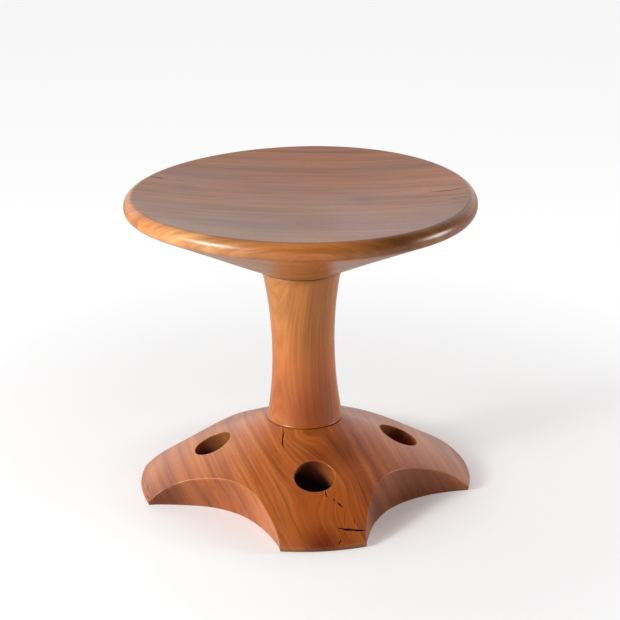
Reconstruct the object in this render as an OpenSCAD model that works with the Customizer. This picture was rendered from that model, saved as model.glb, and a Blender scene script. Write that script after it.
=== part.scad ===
// Turned pedestal stool in solid wood: a dished round seat, a waisted column
// and a domed base whose rim is cut by four scoops, which leave four feet.
// The origin is on the floor under the middle of the column, with +Z up.
// One foot points along each of -Y, +X, +Y and -X.

/* [Overall] */
// Height from the floor to the crest of the seat
stool_h = 442; // [400:1:520]

/* [Seat] */
// Diameter across the widest part of the rim
seat_d = 500; // [420:1:560]
// How far the crest lies inside the widest part of the rim
crest_inset = 12; // [6:0.5:18]
// How far the widest part of the rim lies below the crest
rim_drop = 16; // [12:0.2:26]
// Radius that turns the rim into the underside
rim_lower_r = 9; // [3:0.5:12]
// Slope of the seat's underside from horizontal, in degrees
underside_slope = 25; // [18:0.2:30]
// Radius of the cove between the underside and the hub
hub_cove_r = 35; // [20:1:60]
// Slope where the hub meets the column, in degrees
hub_edge_slope = 50; // [40:1:65]
// Depth of the dish below the crest
dish_depth = 20; // [10:0.5:30]

/* [Column] */
// Diameter at the waist
waist_d = 89.4; // [76:0.2:100]
// Height of the waist above the base
waist_up = 109; // [70:1:140]
// Diameter of the shoulder under the seat
column_top_d = 118.4; // [110:0.2:140]
// How far the top edge flares out past the column's arc
top_flare = 2.7; // [1:0.1:5]
// Height of that flare
top_flare_h = 14; // [8:0.5:24]
// Diameter of the column's foot
column_foot_d = 109; // [104:0.2:130]
// Radius that rounds the edge of the column's foot
foot_round_r = 3; // [1:0.5:6]

/* [Base] */
// Diameter across the widest part of the base
base_d = 479; // [430:1:540]
// Height of the base under the column
base_h = 102.4; // [92:0.2:125]
// Radius of the base's shoulder, near the rim
shoulder_r = 116; // [90:1:140]
// Slope at the lower end of the shoulder, in degrees
shoulder_slope = 46.8; // [42:0.2:60]
// Radius of the base's outer edge
edge_r = 4; // [2:0.5:8]
// Height of the widest part of the base above the floor
edge_up = 5.7; // [3:0.1:10]
// How far the base tucks in from its widest part down to the floor
edge_tuck = 1.5; // [0.5:0.1:4]
// Number of feet, with a scoop between each two
feet = 4; // [3:1:5]
// Radius of each scoop
scoop_r = 168; // [140:1:190]
// Diameter across the base between the deepest points of the scoops
neck_d = 316; // [290:1:360]

/* [Foot holes] */
// Diameter of the hole in each foot
hole_d = 56; // [20:1:60]
// Distance of the middle of a hole's mouth from the stool's axis
hole_out = 134.5; // [115:0.5:150]

/* [Joinery] */
// Diameter of the round tenons turned on both ends of the column
tenon_d = 50; // [36:1:60]
// Length of the tenon inside the seat
seat_tenon_l = 52; // [42:1:60]
// Space left at the blind end of the seat's socket
socket_end_gap = 3; // [1:0.5:6]
// Space between a tenon and its socket, on the radius, for glue
glue_gap = 0.15; // [0.05:0.05:0.4]
// How far the lower tenon ends short of the base's underside
tenon_recess = 2; // [1:0.5:6]
// Length of each wedge inside its tenon
wedge_l = 38; // [24:1:40]
// Thickness of a wedge at its driven end
wedge_thick = 8; // [5:0.5:12]
// Thickness of a wedge at its thin end
wedge_tip = 1.5; // [0.8:0.1:3]

/* [Hidden] */
red_brown = "#a9623a";
orange_brown = "#c07a48";
deep_brown = "#9c5630";
pale_wood = "#d2a36a";
// Sides of the round faces
round_n = 144;
// Steps along each arc of an outline
arc_n = 12;
// How far a cut runs past the face that it opens
over = 1;

// Points along a circle as [radius, height], from one angle to another, without the first one if skip is 1
function arc(centre, r, from, to, skip = 0) =
    [for (i = [skip : arc_n]) centre + r * [cos(from + (to - from) * i / arc_n), sin(from + (to - from) * i / arc_n)]];
// Radius of an arc that starts square to its chord's far end and moves out by rise over length
function sagitta_r(length, rise) = (length * length + rise * rise) / (2 * rise);

// Rim of the seat
seat_r = seat_d / 2;
crest_r = seat_r - crest_inset;
rim_z = stool_h - rim_drop;
rim_upper_r = sagitta_r(rim_drop, crest_inset);
rim_upper_c = [seat_r - rim_upper_r, rim_z];
rim_lower_c = [seat_r - rim_lower_r, rim_z];
rim_end = rim_lower_c + rim_lower_r * [sin(underside_slope), -cos(underside_slope)];

// Hub of the seat: a cove from the straight underside to the top of the column
hub_r = column_top_d / 2;
cove_out = hub_cove_r * (sin(hub_edge_slope) - sin(underside_slope));
cove_up = hub_cove_r * (cos(underside_slope) - cos(hub_edge_slope));
hub_z = rim_end[1] - (rim_end[0] - hub_r - cove_out) * tan(underside_slope) - cove_up;
cove_c = [hub_r, hub_z] + hub_cove_r * [sin(hub_edge_slope), -cos(hub_edge_slope)];

// Dish of the seat: part of a ball that passes through the crest
dish_ball_r = sagitta_r(crest_r, dish_depth);
dish_ball_c = [0, stool_h - dish_depth + dish_ball_r];

// Sides of the column: one arc below the waist, one above it, and the flare under the seat
waist_r = waist_d / 2;
foot_r = column_foot_d / 2;
waist_z = base_h + waist_up;
lower_arc_r = sagitta_r(waist_up - foot_round_r, foot_r - waist_r);
upper_arc_r = sagitta_r(hub_z - waist_z, hub_r - top_flare - waist_r);
lower_c = [waist_r + lower_arc_r, waist_z];
upper_c = [waist_r + upper_arc_r, waist_z];
lower_a = asin((waist_up - foot_round_r) / lower_arc_r);
flare_a = asin((hub_z - top_flare_h - waist_z) / upper_arc_r);
flare_start = upper_c + upper_arc_r * [-cos(flare_a), sin(flare_a)];
flare_dir = [cos(flare_a), -sin(flare_a)];
flare_chord = [hub_r, hub_z] - flare_start;
flare_r = (flare_chord * flare_chord) / (2 * (flare_chord * flare_dir));
flare_c = flare_start + flare_r * flare_dir;
flare_end_a = atan2(hub_z - flare_c[1], hub_r - flare_c[0]);

// Side of the base: the straight slope below the column is tangent to the shoulder
base_r = base_d / 2;
edge_c = [base_r - edge_r, edge_up];
shoulder_c = edge_c - (shoulder_r - edge_r) * [sin(shoulder_slope), cos(shoulder_slope)];
land_from_c = [foot_r, base_h] - shoulder_c;
dome_slope = atan2(land_from_c[0], land_from_c[1]) + acos(shoulder_r / norm(land_from_c));
scoop_out = neck_d / 2 + scoop_r;
foot_step = 360 / feet;

// Holes in the feet, square to the slope of the base
hole_r = hole_d / 2;
hole_mouth_z = base_h - (hole_out - foot_r) * tan(dome_slope);
hole_down = (hole_mouth_z + hole_r * sin(dome_slope) + over) / cos(dome_slope);

// Joinery
tenon_r = tenon_d / 2;
socket_r = tenon_r + glue_gap;
seat_tenon_z = hub_z + seat_tenon_l;
socket_end_z = seat_tenon_z + socket_end_gap;

// Solid of revolution about the stool's axis
module turned(outline) {
    rotate_extrude($fn = round_n) polygon(outline);
}

// Taper from tip_z to end_z, run on past end_z by past, and wider than the tenon
module taper(tip_z, end_z, past = 0) {
    run = sign(end_z - tip_z) * past;
    half_tip = wedge_tip / 2;
    half_end = wedge_thick / 2;
    rotate([90, 0, 0])
        linear_extrude(height = tenon_d + 2 * over, center = true)
            polygon([
                [-half_tip, tip_z], [half_tip, tip_z],
                [half_end, end_z], [half_end, end_z + run],
                [-half_end, end_z + run], [-half_end, end_z]
            ]);
}

// Wedge trimmed to the round of its tenon
module wedge(tip_z, end_z) {
    intersection() {
        taper(tip_z, end_z);
        translate([0, 0, min(tip_z, end_z) - over])
            cylinder(r = tenon_r, h = abs(end_z - tip_z) + 2 * over, $fn = round_n);
    }
}

// Round seat with its dish, rim, underside and hub, and the blind socket for the column
module seat() {
    dish_edge_a = asin(crest_r / dish_ball_r);
    color(red_brown)
    difference() {
        turned(concat(
            arc(dish_ball_c, dish_ball_r, -90, dish_edge_a - 90),
            arc(rim_upper_c, rim_upper_r, asin(rim_drop / rim_upper_r), 0, 1),
            arc(rim_lower_c, rim_lower_r, 0, underside_slope - 90, 1),
            arc(cove_c, hub_cove_r, underside_slope + 90, hub_edge_slope + 90),
            [[0, hub_z]]
        ));
        translate([0, 0, hub_z - over])
            cylinder(r = socket_r, h = socket_end_z - hub_z + over, $fn = round_n);
    }
}

// Waisted column with a round tenon on each end, slotted for its wedges
module column() {
    color(orange_brown)
    difference() {
        turned(concat(
            [[0, tenon_recess], [tenon_r, tenon_recess], [tenon_r, base_h]],
            arc([foot_r - foot_round_r, base_h + foot_round_r], foot_round_r, -90, 0),
            arc(lower_c, lower_arc_r, lower_a + 180, 180, 1),
            arc(upper_c, upper_arc_r, 180, 180 - flare_a, 1),
            arc(flare_c, flare_r, 180 - flare_a, flare_end_a, 1),
            [[tenon_r, hub_z], [tenon_r, seat_tenon_z], [0, seat_tenon_z]]
        ));
        taper(seat_tenon_z - wedge_l, socket_end_z, over);
        taper(tenon_recess + wedge_l, tenon_recess, over);
    }
}

// Domed base with its scoops, foot holes and the through socket for the column
module base() {
    color(deep_brown)
    difference() {
        turned(concat(
            [[0, 0], [base_r - edge_tuck, 0]],
            arc(edge_c, edge_r, 0, 90 - shoulder_slope),
            arc(shoulder_c, shoulder_r, 90 - shoulder_slope, 90 - dome_slope, 1),
            [[foot_r, base_h], [0, base_h]]
        ));
        translate([0, 0, -over])
            cylinder(r = socket_r, h = base_h + 2 * over, $fn = round_n);
        for (i = [0 : feet - 1]) rotate(i * foot_step - 90) {
            foot_hole();
            rotate(foot_step / 2)
                translate([scoop_out, 0, -over])
                    cylinder(r = scoop_r, h = base_h + 2 * over, $fn = round_n);
        }
    }
}

// Cut for one foot's hole, in the foot that points along +X
module foot_hole() {
    translate([hole_out, 0, hole_mouth_z])
        rotate([0, dome_slope, 0])
            translate([0, 0, -hole_down])
                cylinder(r = hole_r, h = hole_down + hole_r, $fn = round_n);
}

// Wedge that the bottom of the seat's socket drives into the upper tenon
module seat_wedge() {
    color(pale_wood) wedge(seat_tenon_z - wedge_l, socket_end_z);
}

// Wedge driven into the lower tenon from under the base
module base_wedge() {
    color(pale_wood) wedge(tenon_recess + wedge_l, tenon_recess);
}

seat();
column();
base();
seat_wedge();
base_wedge();
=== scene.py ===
import math
import bmesh
import bpy
import numpy as np
from mathutils import Matrix, Vector
from mathutils.bvhtree import BVHTree
from mathutils.geometry import delaunay_2d_cdt


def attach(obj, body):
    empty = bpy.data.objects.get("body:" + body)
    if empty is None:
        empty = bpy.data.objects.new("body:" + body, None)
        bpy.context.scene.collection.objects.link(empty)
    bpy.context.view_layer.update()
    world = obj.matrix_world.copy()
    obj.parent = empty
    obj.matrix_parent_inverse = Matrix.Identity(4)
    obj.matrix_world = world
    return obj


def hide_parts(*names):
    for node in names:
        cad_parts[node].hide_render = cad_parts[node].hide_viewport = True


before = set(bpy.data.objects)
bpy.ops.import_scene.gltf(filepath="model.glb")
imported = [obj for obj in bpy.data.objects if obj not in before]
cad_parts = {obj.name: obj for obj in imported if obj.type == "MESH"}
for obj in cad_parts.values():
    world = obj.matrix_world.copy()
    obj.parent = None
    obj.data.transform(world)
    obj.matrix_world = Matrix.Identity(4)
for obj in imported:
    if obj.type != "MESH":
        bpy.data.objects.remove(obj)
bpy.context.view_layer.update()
print("frame loaded:", ", ".join(sorted(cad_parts)))

# the pieces' dictionaries are in millimetres, and those of the camera and the studio are in metres
mm = 0.001
scene = bpy.context.scene
stoolParts = bpy.data.collections.new("stool")
studio = bpy.data.collections.new("studio")
for collection in (stoolParts, studio):
    scene.collection.children.link(collection)


# the camera comes first, because the likeness hangs on it
cameraSetup = dict(
    place=(-0.2648, -2.7909, 1.2734), tiltDown=19.812, turn=-5.605, roll=-0.586, lens=121.82, sensor=36,
)
cameraData = bpy.data.cameras.new("photoCamera")
cameraData.sensor_width = cameraSetup["sensor"]
cameraData.lens = cameraSetup["lens"]
camera = bpy.data.objects.new("photoCamera", cameraData)
studio.objects.link(camera)
camera.matrix_world = (
    Matrix.Translation(cameraSetup["place"])
    @ Matrix.Rotation(math.radians(cameraSetup["turn"]), 4, "Z")
    @ Matrix.Rotation(math.radians(90 - cameraSetup["tiltDown"]), 4, "X")
    @ Matrix.Rotation(math.radians(cameraSetup["roll"]), 4, "Z")
)
scene.camera = camera
print("camera placed")


def arcPoints(centre, radius, start, end, steps, skipFirst=True):
    angles = [math.radians(start + (end - start) * i / steps) for i in range(int(skipFirst), steps + 1)]
    return [(centre[0] + radius * math.cos(a), centre[1] + radius * math.sin(a)) for a in angles]


class Outline(list):
    # the side of a turned piece, as points of radius and height; each stretch goes on from the last point
    def line(self, end, steps):
        start = self[-1]
        way = np.subtract(end, start)
        self.extend([tuple(np.add(start, np.multiply(way, i / steps))) for i in range(1, steps + 1)])

    def arc(self, centre, radius, start, end, steps):
        self.extend(arcPoints(centre, radius, start, end, steps))

    def soften(self, index, radius, steps=4):
        # swaps one corner for an arc that touches both of its sides
        corner, before, after = (np.array(self[i], float) for i in (index, index - 1, index + 1))
        inward, outward = before - corner, after - corner
        inward /= np.linalg.norm(inward)
        outward /= np.linalg.norm(outward)
        half = math.acos(float(np.clip(inward @ outward, -1, 1))) / 2
        reach = radius / math.tan(half)
        middle = (inward + outward) / np.linalg.norm(inward + outward)
        centre = corner + middle * radius / math.sin(half)
        first, last = corner + inward * reach - centre, corner + outward * reach - centre
        swing = math.pi - 2 * half
        arc = []
        for i in range(steps + 1):
            a = i / steps * swing
            arc.append(tuple(centre + (first * math.sin(swing - a) + last * math.sin(a)) / math.sin(swing)))
        self[index:index + 1] = arc


def plainMesh(name, vertices, faces, edges=()):
    mesh = bpy.data.meshes.new(name)
    corners = [tuple(float(c) for c in v) for v in vertices]
    mesh.from_pydata(corners, list(edges), [tuple(int(i) for i in f) for f in faces])
    mesh.update()
    return mesh


def store(mesh, name, values, kind="FLOAT"):
    # keeps a value, or a vector, for each point of a mesh
    field = "vector" if kind == "FLOAT_VECTOR" else "value"
    mesh.attributes.new(name, kind, "POINT").data.foreach_set(field, np.ravel(values))


def placed(name, mesh, collection=stoolParts):
    thing = bpy.data.objects.new(name, mesh)
    collection.objects.link(thing)
    return thing


class NodeBoard:
    # small helper that adds and joins nodes, for shader and geometry trees alike
    def __init__(self, tree):
        self.tree = tree

    def feed(self, socket, value):
        # a socket takes another node's output, or a plain value
        if isinstance(value, bpy.types.NodeSocket):
            self.tree.links.new(value, socket)
        else:
            socket.default_value = value

    def add(self, kind, inputs=None, **settings):
        node = self.tree.nodes.new(kind)
        for key, value in settings.items():
            setattr(node, key, value)
        for key, value in (inputs or {}).items():
            self.feed(node.inputs[key], value)
        return node

    def out(self, kind, inputs=None, **settings):
        # what a new node puts out first
        return self.add(kind, inputs, **settings).outputs[0]

    def group(self, tree, inputs):
        return self.add("ShaderNodeGroup", inputs, node_tree=tree).outputs

    def place(self, kind="Object"):
        return self.add("ShaderNodeTexCoord").outputs[kind]

    def math(self, operation, *values):
        return self.out("ShaderNodeMath", dict(enumerate(values)), operation=operation)

    def plus(self, a, b):
        return self.math("ADD", a, b)

    def minus(self, a, b):
        return self.math("SUBTRACT", a, b)

    def times(self, a, b):
        return self.math("MULTIPLY", a, b)

    def over(self, a, b):
        return self.math("DIVIDE", a, b)

    def timesPlus(self, a, b, c):
        return self.math("MULTIPLY_ADD", a, b, c)

    def between(self, share, low, high):
        # low where the share is 0, and high where it is 1
        return self.timesPlus(share, high - low, low)

    def rise(self, value, low, high):
        # smooth step from 0 at low to 1 at high
        inputs = {"Value": value, "From Min": low, "From Max": high}
        return self.out("ShaderNodeMapRange", inputs, interpolation_type="SMOOTHSTEP")

    def vector(self, operation, a, b=None):
        # puts out a vector, or a single value for a dot product or a length
        inputs = {0: a}
        if b is not None:
            inputs["Scale" if operation == "SCALE" else 1] = b
        output = 1 if operation in ("DOT_PRODUCT", "LENGTH") else 0
        return self.add("ShaderNodeVectorMath", inputs, operation=operation).outputs[output]

    def combine(self, x=0.0, y=0.0, z=0.0):
        return self.out("ShaderNodeCombineXYZ", {"X": x, "Y": y, "Z": z})

    def separate(self, vector):
        return self.add("ShaderNodeSeparateXYZ", {0: vector}).outputs

    def noise(self, spot, scale, detail, roughness=0.5, seed=None):
        inputs = {"Vector": spot, "Scale": scale, "Detail": detail, "Roughness": roughness}
        if seed is None:
            return self.out("ShaderNodeTexNoise", inputs)
        return self.out("ShaderNodeTexNoise", {"W": seed, **inputs}, noise_dimensions="4D")

    def stray(self, noise, amount, factor):
        # noise moved about 0; it stays near its middle, so the factor stretches it
        return self.times(self.minus(noise, 0.5), self.times(amount, factor))

    def position(self):
        return self.out("GeometryNodeInputPosition")

    def stored(self, name, kind="FLOAT"):
        named = self.add("GeometryNodeInputNamedAttribute", {"Name": name}, data_type=kind)
        return named.outputs["Attribute"]

    def handOver(self, geometry, finish, socket):
        # what every geometry tree ends in
        real = self.out("GeometryNodeRealizeInstances", {"Geometry": geometry})
        self.feed(socket, self.out("GeometryNodeSetMaterial", {"Geometry": real, "Material": finish}))


def newTree(kind, name, inputs, outputs):
    # inputs maps each name to its first value, or to the kind of what it carries, as outputs does
    tree = bpy.data.node_groups.new(name, kind)
    kinds = {int: "Int", float: "Float", tuple: "Vector"}
    for key, value in inputs.items():
        carried = kinds.get(type(value), value)
        socket = tree.interface.new_socket(name=key, in_out="INPUT", socket_type="NodeSocket" + carried)
        if type(value) in kinds:
            socket.default_value = value
    for key, carried in outputs.items():
        tree.interface.new_socket(name=key, in_out="OUTPUT", socket_type="NodeSocket" + carried)
    board = NodeBoard(tree)
    return tree, board, board.add("NodeGroupInput").outputs, board.add("NodeGroupOutput").inputs


def startShader(owner, name):
    # turns on the nodes of a material or the world, and gives a board and the inputs of its named node
    owner.use_nodes = True
    return NodeBoard(owner.node_tree), owner.node_tree.nodes[name].inputs


# the lathe turns an outline round the stool's axis
def makeLathe():
    tree, board, given, made = newTree(
        "GeometryNodeTree", "turnOnLathe",
        {"Outline": "Geometry", "Sides": 180, "Wander": 0.0002, "Wander Length": 0.09, "Tilt X": 0.0,
         "Tilt Y": 0.0, "Cup": 0.0, "Twist": 0.0, "Seed": 1, "Finish": "Material"},
        {"Turned": "Geometry"},
    )
    domain = board.add("GeometryNodeAttributeDomainSize", {"Geometry": given["Outline"]})
    count = domain.outputs["Point Count"]
    size = {"Size X": 1.0, "Size Y": 1.0, "Vertices X": board.plus(given["Sides"], 1), "Vertices Y": count}
    grid = board.out("GeometryNodeMeshGrid", size)
    spot = board.separate(board.position())
    angle = board.times(board.plus(spot["X"], 0.5), 2 * math.pi)
    row = board.math("ROUND", board.times(board.plus(spot["Y"], 0.5), board.minus(count, 1)))

    def atRow(value, kind="FLOAT_VECTOR"):
        # what the outline holds at the point of this row
        inputs = {"Geometry": given["Outline"], "Index": row, "Value": value}
        return board.out("GeometryNodeSampleIndex", inputs, data_type=kind)

    outline = board.separate(atRow(board.position()))
    radius, height = outline["X"], outline["Z"]
    drift = atRow(board.stored("drift", "FLOAT_VECTOR"))
    warpShare = atRow(board.stored("warp"), "FLOAT")
    cosine, sine = board.math("COSINE", angle), board.math("SINE", angle)
    # the maker's hand: the radius strays a little, in slow waves, and less within 50 mm of the axis
    around = board.combine(board.times(radius, cosine), board.times(radius, sine), height)
    slow = board.vector("SCALE", around, board.over(1.0, given["Wander Length"]))
    stray = board.stray(board.noise(slow, 1.0, 1.0, seed=given["Seed"]), given["Wander"], 2.0)
    stray = board.times(stray, board.math("MINIMUM", board.times(radius, 20.0), 1.0))
    wide = board.plus(radius, stray)
    east, north = board.times(wide, cosine), board.times(wide, sine)
    # old wood moves: the height tilts, cups and twists with the place in plan
    lift = board.plus(board.times(given["Tilt X"], east), board.times(given["Tilt Y"], north))
    squares = board.minus(board.times(east, east), board.times(north, north))
    lift = board.plus(lift, board.times(given["Cup"], squares))
    lift = board.plus(lift, board.times(given["Twist"], board.times(east, north)))
    turned = board.combine(east, north, board.timesPlus(lift, warpShare, height))
    drifted = board.vector("ADD", turned, drift)
    moved = board.out("GeometryNodeSetPosition", {"Geometry": grid, "Position": drifted})
    closed = board.out("GeometryNodeMergeByDistance", {"Geometry": moved, "Distance": 0.00002})
    board.handOver(board.out("GeometryNodeSetShadeSmooth", {"Geometry": closed}), given["Finish"], made[0])
    return tree


def setInputs(modifier, values):
    # sets a modifier's inputs by their identifiers
    for item in modifier.node_group.interface.items_tree:
        if item.item_type == "SOCKET" and item.in_out == "INPUT" and item.name in values:
            modifier[item.identifier] = values[item.name]


def bakedMesh(thing, name):
    # the evaluated object as a plain mesh, with the modifiers gone
    bpy.context.view_layer.update()
    evaluated = thing.evaluated_get(bpy.context.evaluated_depsgraph_get())
    mesh = bpy.data.meshes.new_from_object(evaluated)
    mesh.name = name
    thing.modifiers.clear()
    return mesh


def tidyMesh(mesh, sharpAngle=38):
    # doubles merged, faces pointing outwards, and only true corners and flat undersides left sharp
    work = bmesh.new()
    work.from_mesh(mesh)
    bmesh.ops.remove_doubles(work, verts=work.verts, dist=0.000004)
    bmesh.ops.dissolve_degenerate(work, edges=work.edges, dist=0.000001)
    bmesh.ops.recalc_face_normals(work, faces=work.faces)
    if work.calc_volume(signed=True) < 0:
        bmesh.ops.reverse_faces(work, faces=work.faces)
    limit = math.radians(sharpAngle)
    for edge in work.edges:
        edge.smooth = edge.calc_face_angle(0) < limit
    for part in work.faces:
        part.smooth = part.normal.z > -0.9999
    openEdges = sum(1 for edge in work.edges if not edge.is_manifold)
    work.to_mesh(mesh)
    triangles = sum(len(part.verts) - 2 for part in work.faces)
    work.free()
    print("   ", mesh.name, "triangles:", triangles, "open edges:", openEdges)


def markEdges(mesh, fullRadius=0.0026, spread=3):
    # stores how sharply the surface turns outwards, 1 where its radius is fullRadius or less
    work = bmesh.new()
    work.from_mesh(mesh)
    turn = np.zeros(len(work.verts))
    ends = []
    for edge in work.edges:
        a, b = edge.verts[0].index, edge.verts[1].index
        ends.append((a, b))
        if len(edge.link_faces) == 2:
            first, second = (part.calc_center_median() for part in edge.link_faces)
            bend = edge.calc_face_angle_signed(0) / max((first - second).length, 1e-4)
            turn[a], turn[b] = max(turn[a], bend), max(turn[b], bend)
    height = np.array([vertex.co.z for vertex in work.verts])
    work.free()
    ends = np.array(ends)
    share = np.clip(turn * fullRadius, 0, 1)
    for _ in range(spread):
        total, count = np.zeros(len(share)), np.zeros(len(share))
        for near, far in ((0, 1), (1, 0)):
            np.add.at(total, ends[:, near], share[ends[:, far]])
            np.add.at(count, ends[:, near], 1)
        share = np.maximum(share * 0.6, total / np.maximum(count, 1))
    share[height < 0.00005] = 0  # nothing rubs what stands flat on the floor
    store(mesh, "edge", share)


lathe = makeLathe()


def turnedPiece(name, outline, shares, finish, shape):
    # each point's share says how far it follows the second of the piece's drifts, and its warp
    points = [(r * mm, 0, z * mm) for r, z in outline]
    mesh = plainMesh(name, points, [], [(i, i + 1) for i in range(len(points) - 1)])
    low, high = shape["drifts"]
    drifts = [[((1 - share) * a + share * b) * mm for a, b in zip(low, high)] + [0] for share in shares]
    store(mesh, "drift", drifts, "FLOAT_VECTOR")
    store(mesh, "warp", shares)
    thing = placed(name, mesh)
    turning = thing.modifiers.new("turning", "NODES")
    turning.node_group = lathe
    values = {"Sides": shape["sides"], "Wander": shape["wander"] * mm, "Seed": shape["seed"]}
    setInputs(turning, {**values, **shape["warp"], "Finish": finish})
    thing.data = bakedMesh(thing, name)
    bpy.data.meshes.remove(mesh)
    tidyMesh(thing.data)
    return thing


# drying cracks are thin blades that follow a path on the wood, and are cut out of it
def makeCrackBlades():
    tree, board, given, made = newTree(
        "GeometryNodeTree", "crackBlades",
        {"Paths": "Geometry", "Step": 0.0016, "Tremble": 0.0005, "Raggedness": 0.6, "Lift": 2.4,
         "Depth": 11.0, "Finish": "Material"},
        {"Blades": "Geometry"},
    )
    curve = board.out("GeometryNodeMeshToCurve", {"Mesh": given["Paths"]})
    fine = board.out("GeometryNodeResampleCurve", {"Curve": curve, "Length": given["Step"]}, mode="LENGTH")
    outward = board.stored("outward", "FLOAT_VECTOR")
    turned = board.out("GeometryNodeSetCurveNormal", {"Curve": fine, "Normal": outward}, mode="FREE")
    side = board.vector("CROSS_PRODUCT", board.out("GeometryNodeInputTangent"), outward)
    place = board.position()
    sway = board.stray(board.noise(place, 130.0, 2.0), given["Tremble"], 4.0)
    aside = board.vector("SCALE", side, sway)
    moved = board.out("GeometryNodeSetPosition", {"Geometry": turned, "Offset": aside})
    ragged = board.stray(board.noise(place, 420.0, 2.0), given["Raggedness"], 2.0)
    size = board.times(board.stored("halfWidth"), board.plus(ragged, 1.0))
    # the blade's section in half widths: wide above the wood, and narrow at its depth
    section = board.add("GeometryNodeCurvePrimitiveQuadrilateral", mode="POINTS")
    below = board.times(given["Depth"], -1.0)
    corners = ((given["Lift"], -1.0), (given["Lift"], 1.0), (below, 0.12), (below, -0.12))
    for i, corner in enumerate(corners):
        board.feed(section.inputs["Point %d" % (i + 1)], board.combine(*corner))
    sweep = {"Curve": moved, "Profile Curve": section.outputs[0], "Scale": size, "Fill Caps": True}
    board.handOver(board.out("GeometryNodeCurveToMesh", sweep), given["Finish"], made[0])
    return tree


crackBlades = makeCrackBlades()


def cutAway(piece, cutter):
    # takes the cutter's shape out of the piece, and keeps the cutter's material on the cut
    carving = piece.modifiers.new("carving", "BOOLEAN")
    carving.operation = "DIFFERENCE"
    carving.solver = "EXACT"
    carving.material_mode = "TRANSFER"
    carving.object = cutter
    old = piece.data
    piece.data = bakedMesh(piece, old.name)
    bpy.data.objects.remove(cutter)
    bpy.data.meshes.remove(old)
    tidyMesh(piece.data)


def cutCracks(piece, cracks):
    # each crack is a list of points in millimetres, laid on the piece's surface, and a half width
    surface = BVHTree.FromObject(piece, bpy.context.evaluated_depsgraph_get())
    vertices, edges, outwards, widths = [], [], [], []
    for points, halfWidth in cracks:
        stops = [Vector(p) * mm for p in points]
        start = len(vertices)
        for first, last in zip(stops, stops[1:]):
            parts = max(2, int((last - first).length / 0.004))
            for i in range(parts + (last is stops[-1])):
                spot, outward, _, _ = surface.find_nearest(first.lerp(last, i / parts))
                vertices.append(spot)
                outwards.append(tuple(outward))
        count = len(vertices) - start
        edges += [(start + i, start + i + 1) for i in range(count - 1)]
        for i in range(count):
            along = i / (count - 1)
            widths.append(halfWidth * mm * (0.25 + 0.75 * min(1.0, 4 * along, 4 * (1 - along))))
    mesh = plainMesh(piece.name + "_cracks", vertices, [], edges)
    store(mesh, "outward", outwards, "FLOAT_VECTOR")
    store(mesh, "halfWidth", widths)
    blades = placed(mesh.name, mesh)
    sweeping = blades.modifiers.new("blades", "NODES")
    sweeping.node_group = crackBlades
    setInputs(sweeping, {"Finish": crackShade})
    blades.data = bakedMesh(blades, mesh.name + "_blades")
    tidyMesh(blades.data)
    cutAway(piece, blades)


def sagittaRadius(length, rise):
    return (length * length + rise * rise) / (2 * rise)


def smoothStep(value, low, high):
    t = min(1.0, max(0.0, (value - low) / (high - low)))
    return t * t * (3 - 2 * t)


# materials, mixed further down
seatWood, columnWood, baseWood, wedgeWood, crackShade = (
    bpy.data.materials.new(name) for name in ("seatWood", "columnWood", "baseWood", "wedgeWood", "crackShade")
)

# seat
seatShape = dict(
    width=494.0, top=438.4, crestInset=12, rimDrop=14.1, lowerRadius=11.5, undersideSlope=25.3,
    coveRadius=35, hubSlope=40, hubWidth=118.4, hubHeight=327.68, dishDepth=18, crestRadius=2.0,
    hubRound=1.5, socketRadius=25.15, socketEnd=382.68, sides=320, wander=0.3, seed=4,
    # the hub stays in place on the column, and the rest drifts and warps more from stillTo out to movedFrom
    drifts=((-2.5, 0.2), (-2.4, 2.2)), stillTo=60, movedFrom=180, dishAbove=400,
    # the seat has warped a little: tilts as slopes, cup and twist as metres per square metre
    warp={"Tilt X": -0.0012, "Tilt Y": -0.0024, "Cup": -0.0113, "Twist": 0.088},
)


def seatOutline(s):
    seatR = s["width"] / 2
    crestR = seatR - s["crestInset"]
    rimZ = s["top"] - s["rimDrop"]
    hubR, hubZ = s["hubWidth"] / 2, s["hubHeight"]
    upperR, lowerR, coveR = sagittaRadius(s["rimDrop"], s["crestInset"]), s["lowerRadius"], s["coveRadius"]
    slope, hubSlope = math.radians(s["undersideSlope"]), math.radians(s["hubSlope"])
    coveOut = coveR * (math.sin(hubSlope) - math.sin(slope))
    coveUp = coveR * (math.cos(slope) - math.cos(hubSlope))
    coveC = (hubR + coveR * math.sin(hubSlope), hubZ - coveR * math.cos(hubSlope))
    ballR = sagittaRadius(crestR, s["dishDepth"])
    ballC = (0, s["top"] - s["dishDepth"] + ballR)
    edgeAngle = math.degrees(math.asin(crestR / ballR))
    points = Outline(arcPoints(ballC, ballR, -90, edgeAngle - 90, 56, skipFirst=False))
    points[0] = (0.0, points[0][1])
    crestIndex = len(points) - 1
    points.arc((seatR - upperR, rimZ), upperR, math.degrees(math.asin(s["rimDrop"] / upperR)), 0, steps=14)
    points.arc((seatR - lowerR, rimZ), lowerR, 0, s["undersideSlope"] - 90, steps=8)
    points.line((hubR + coveOut, hubZ + coveUp), steps=34)
    points.arc(coveC, coveR, s["undersideSlope"] + 90, s["hubSlope"] + 90, steps=8)
    hubIndex = len(points) - 1
    points.line((s["socketRadius"], hubZ), steps=4)
    points.line((s["socketRadius"], s["socketEnd"]), steps=4)
    points.line((0, s["socketEnd"]), steps=2)
    points.soften(hubIndex, s["hubRound"])
    points.soften(crestIndex, s["crestRadius"])
    return points


def seatShare(r, z):
    return 1.0 if z > seatShape["dishAbove"] else smoothStep(r, seatShape["stillTo"], seatShape["movedFrom"])


seatPoints = seatOutline(seatShape)
hubZ = seatShape["hubHeight"]
seatShares = [seatShare(r, z) for r, z in seatPoints]
seat = turnedPiece("seat_turned", seatPoints, seatShares, seatWood, seatShape)
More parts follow.
